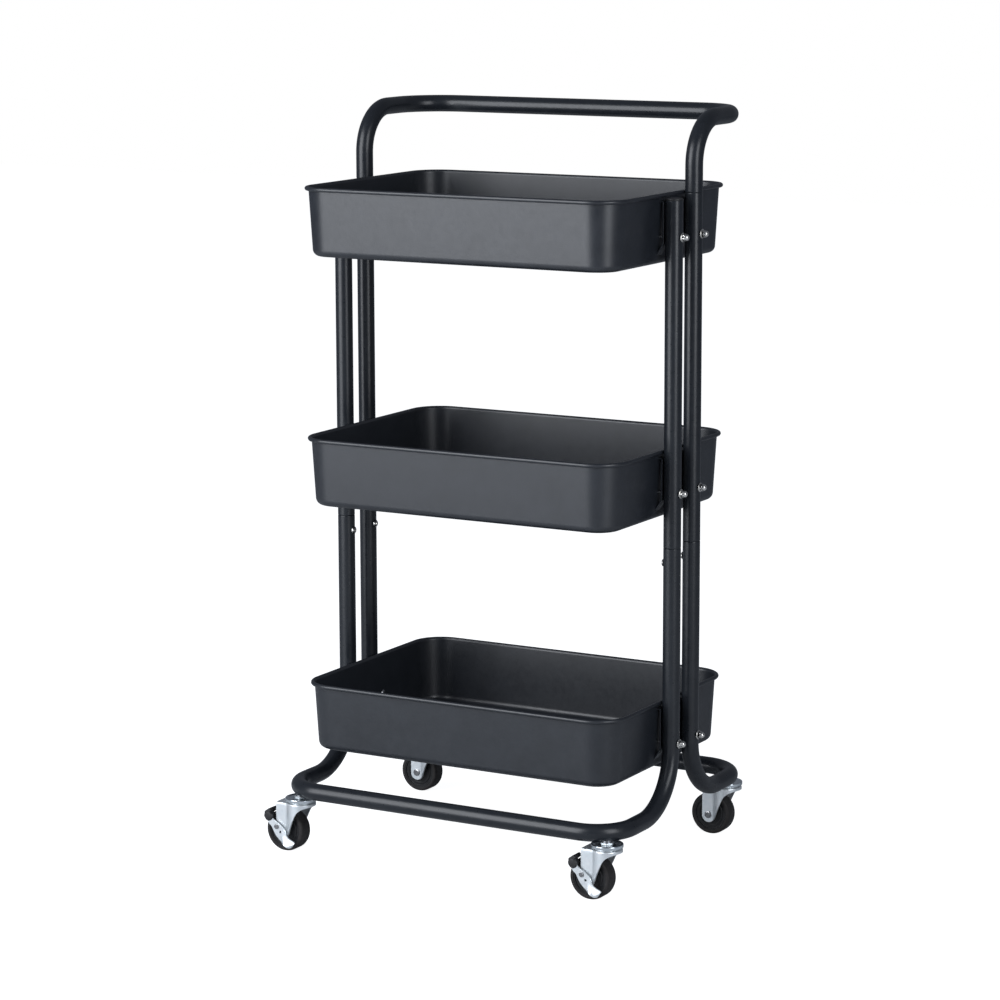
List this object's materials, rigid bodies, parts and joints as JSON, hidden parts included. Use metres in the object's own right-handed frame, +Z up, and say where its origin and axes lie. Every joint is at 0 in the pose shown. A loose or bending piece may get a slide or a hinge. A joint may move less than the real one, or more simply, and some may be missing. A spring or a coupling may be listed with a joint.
{
  "type": "three-tier utility trolley",
  "caption": "Tall tubular-steel trolley with rounded sheet-metal trays, a push handle over the rear and small swivel casters, the front ones with foot brakes.",
  "frame": {"origin": "on the floor under the middle of the tubular frame; the casters trail to -X, so the middle of the overall box lies 5 mm to -X of it", "axes": "+Z up, +X to the cart's right seen from the front, +Y towards the side with the push handle"},
  "size_m": [0.4801, 0.3526, 0.8685],
  "materials": {
    "frame_paint": "satin",
    "tray_paint": "satin",
    "plug_plastic": "satin",
    "bolt_steel": "satin",
    "nickel_steel": "polished",
    "insert_steel": "satin",
    "stem_steel": "zinc plated",
    "cap_steel": "zinc plated",
    "ball_steel": "polished",
    "fork_steel": "zinc plated",
    "axle_steel": "zinc plated",
    "bush_steel": "satin",
    "wheel_plastic": "satin",
    "tyre_rubber": "matte",
    "lever_steel": "zinc plated",
    "pad_plastic": "satin"
  },
  "bodies": {
    "frame": {"base_loop_front": "frame_paint", "base_loop_rear": "frame_paint", "brackets_bottom": "tray_paint", "brackets_middle": "tray_paint", "brackets_top": "tray_paint", "cap_nuts": "nickel_steel", "caster_inserts": "insert_steel", "handle": "frame_paint", "joint_screws": "nickel_steel", "post_front_left": "frame_paint", "post_front_right": "frame_paint", "post_plugs": "plug_plastic", "post_rear_left": "frame_paint", "post_rear_right": "frame_paint", "stem_front_left": "stem_steel", "stem_front_right": "stem_steel", "stem_rear_left": "stem_steel", "stem_rear_right": "stem_steel", "swivel_cap_front_left": "cap_steel", "swivel_cap_front_right": "cap_steel", "swivel_cap_rear_left": "cap_steel", "swivel_cap_rear_right": "cap_steel", "tray_bolts": "bolt_steel", "tray_bottom": "tray_paint", "tray_middle": "tray_paint", "tray_top": "tray_paint"},
    "swivel_front_left": {"axle_front_left": "axle_steel", "balls_front_left": "ball_steel", "brake_pivot_front_left": "axle_steel", "fork_front_left": "fork_steel"},
    "swivel_front_right": {"axle_front_right": "axle_steel", "balls_front_right": "ball_steel", "brake_pivot_front_right": "axle_steel", "fork_front_right": "fork_steel"},
    "swivel_rear_left": {"axle_rear_left": "axle_steel", "balls_rear_left": "ball_steel", "fork_rear_left": "fork_steel"},
    "swivel_rear_right": {"axle_rear_right": "axle_steel", "balls_rear_right": "ball_steel", "fork_rear_right": "fork_steel"},
    "brake_front_left": {"brake_lever_front_left": "lever_steel", "brake_pad_front_left": "pad_plastic"},
    "brake_front_right": {"brake_lever_front_right": "lever_steel", "brake_pad_front_right": "pad_plastic"},
    "roller_front_left": {"hub_bush_front_left": "bush_steel", "tyre_front_left": "tyre_rubber", "wheel_front_left": "wheel_plastic"},
    "roller_front_right": {"hub_bush_front_right": "bush_steel", "tyre_front_right": "tyre_rubber", "wheel_front_right": "wheel_plastic"},
    "roller_rear_left": {"hub_bush_rear_left": "bush_steel", "tyre_rear_left": "tyre_rubber", "wheel_rear_left": "wheel_plastic"},
    "roller_rear_right": {"hub_bush_rear_right": "bush_steel", "tyre_rear_right": "tyre_rubber", "wheel_rear_right": "wheel_plastic"}
  },
  "joints": [
    {"name": "swivel_front_left", "type": "hinge", "parent": "frame", "child": "swivel_front_left", "pos_m": [-0.2025, -0.15362, 0.055], "axis": [0, 0, 1], "continuous": true},
    {"name": "swivel_front_right", "type": "hinge", "parent": "frame", "child": "swivel_front_right", "pos_m": [0.2025, -0.15362, 0.055], "axis": [0, 0, 1], "continuous": true},
    {"name": "swivel_rear_left", "type": "hinge", "parent": "frame", "child": "swivel_rear_left", "pos_m": [-0.2025, 0.15362, 0.055], "axis": [0, 0, 1], "continuous": true},
    {"name": "swivel_rear_right", "type": "hinge", "parent": "frame", "child": "swivel_rear_right", "pos_m": [0.2025, 0.15362, 0.055], "axis": [0, 0, 1], "continuous": true},
    {"name": "roll_front_left", "type": "hinge", "parent": "swivel_front_left", "child": "roller_front_left", "pos_m": [-0.22, -0.15362, 0.025], "axis": [0, 1, 0], "continuous": true},
    {"name": "roll_front_right", "type": "hinge", "parent": "swivel_front_right", "child": "roller_front_right", "pos_m": [0.185, -0.15362, 0.025], "axis": [0, 1, 0], "continuous": true},
    {"name": "roll_rear_left", "type": "hinge", "parent": "swivel_rear_left", "child": "roller_rear_left", "pos_m": [-0.22, 0.15362, 0.025], "axis": [0, 1, 0], "continuous": true},
    {"name": "roll_rear_right", "type": "hinge", "parent": "swivel_rear_right", "child": "roller_rear_right", "pos_m": [0.185, 0.15362, 0.025], "axis": [0, 1, 0], "continuous": true},
    {"name": "brake_front_left", "type": "hinge", "parent": "swivel_front_left", "child": "brake_front_left", "pos_m": [-0.225, -0.15362, 0.031], "axis": [0, -1, 0], "range_deg": [0, 25]},
    {"name": "brake_front_right", "type": "hinge", "parent": "swivel_front_right", "child": "brake_front_right", "pos_m": [0.18, -0.15362, 0.031], "axis": [0, -1, 0], "range_deg": [0, 25]}
  ]
}
